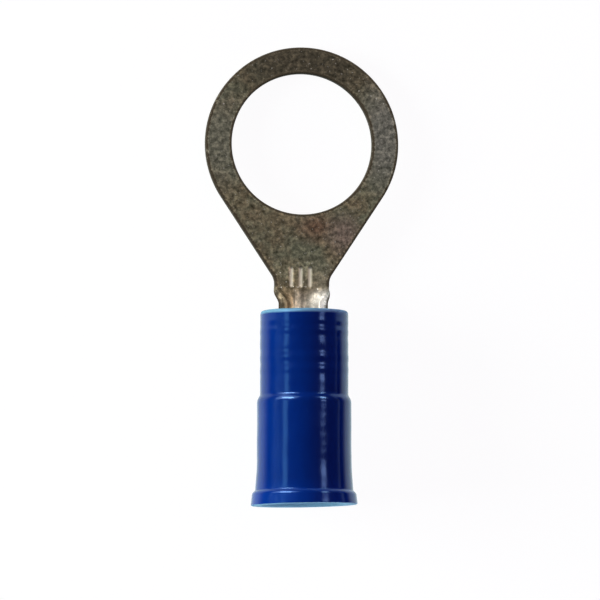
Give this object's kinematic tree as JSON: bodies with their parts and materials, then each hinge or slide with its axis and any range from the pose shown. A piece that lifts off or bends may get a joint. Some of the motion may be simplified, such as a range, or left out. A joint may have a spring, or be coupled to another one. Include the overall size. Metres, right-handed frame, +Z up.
{
  "type": "insulated ring terminal",
  "caption": "Insulated crimp ring terminal: a tinned copper ring tongue for a stud, rolled into a wire barrel that a blue vinyl sleeve with a funnelled wire entry grips.",
  "frame": {"origin": "centre of the stud hole, on the underside of the tongue", "axes": "+Z up through the stud hole, towards the side that the barrel's seam is on; +Y along the terminal towards the ring's tip, so the wire leaves along -Y; +X across the tongue"},
  "size_m": [0.0138, 0.0326, 0.0075],
  "materials": {
    "tinned_copper": "dull matt tin plating over copper, mottled",
    "blue_vinyl": "smooth glossy moulded vinyl"
  },
  "bodies": {
    "root": {"terminal_body": "tinned_copper", "insulating_sleeve": "blue_vinyl"}
  },
  "joints": []
}
